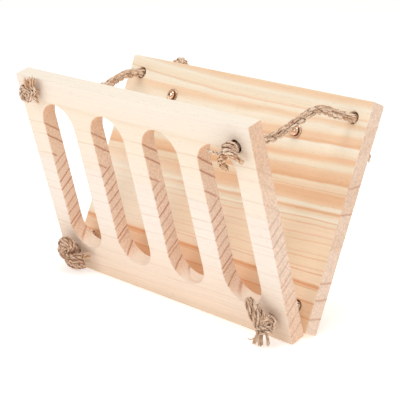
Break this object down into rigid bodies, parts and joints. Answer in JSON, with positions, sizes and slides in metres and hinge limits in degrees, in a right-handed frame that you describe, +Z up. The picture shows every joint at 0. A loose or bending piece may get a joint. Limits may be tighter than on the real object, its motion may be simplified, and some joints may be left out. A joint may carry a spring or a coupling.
{
  "type": "magazine rack",
  "caption": "Tabletop V-shaped rack: a slotted front board and a plain back board laced at their corners with knotted rope, holding magazines between them.",
  "frame": {"origin": "on the floor, in the middle of the wooden parts", "axes": "+X along the boards, +Y from the slotted front board to the back board, +Z up"},
  "size_m": [0.3, 0.1902, 0.1958],
  "materials": {
    "pine": "sanded and clear coated, satin",
    "pine_warm": "sanded and clear coated, satin",
    "jute": "matte, hairy, loosely laid",
    "yellow_zinc": "bright yellow passivated zinc"
  },
  "bodies": {
    "back": {"back_board": "pine_warm", "screw_left": "yellow_zinc", "screw_right": "yellow_zinc", "washer_left": "yellow_zinc", "washer_right": "yellow_zinc", "rope_top_left": "jute", "rope_top_right": "jute", "rope_bottom_left": "jute", "rope_bottom_right": "jute", "knot_rear_top_left": "jute", "knot_rear_top_right": "jute", "knot_rear_bottom_left": "jute", "knot_rear_bottom_right": "jute", "tail_rear_top_left": "jute", "tail_rear_top_right": "jute", "tail_rear_bottom_left": "jute", "tail_rear_bottom_right": "jute"},
    "front": {"front_plank_lower": "pine", "front_plank_upper": "pine", "knot_front_top_left": "jute", "knot_front_top_right": "jute", "knot_front_bottom_left": "jute", "knot_front_bottom_right": "jute", "tail_front_top_left_up": "jute", "tail_front_top_left_side": "jute", "tail_front_top_left_down": "jute", "tail_front_top_right_left": "jute", "tail_front_top_right_down": "jute", "tail_front_top_right_right": "jute", "tail_front_bottom_left_low": "jute", "tail_front_bottom_left_side": "jute", "tail_front_bottom_right_fan": "jute", "tail_front_bottom_right_foot_1": "jute", "tail_front_bottom_right_foot_2": "jute", "tail_front_bottom_right_foot_3": "jute"}
  },
  "joints": [
    {"name": "fold", "type": "hinge", "parent": "back", "child": "front", "pos_m": [0, -0.01167, 0.0047], "axis": [-1, 0, 0], "range_deg": [0, 35], "deforming": ["rope_top_left", "rope_top_right", "rope_bottom_left", "rope_bottom_right"]}
  ]
}
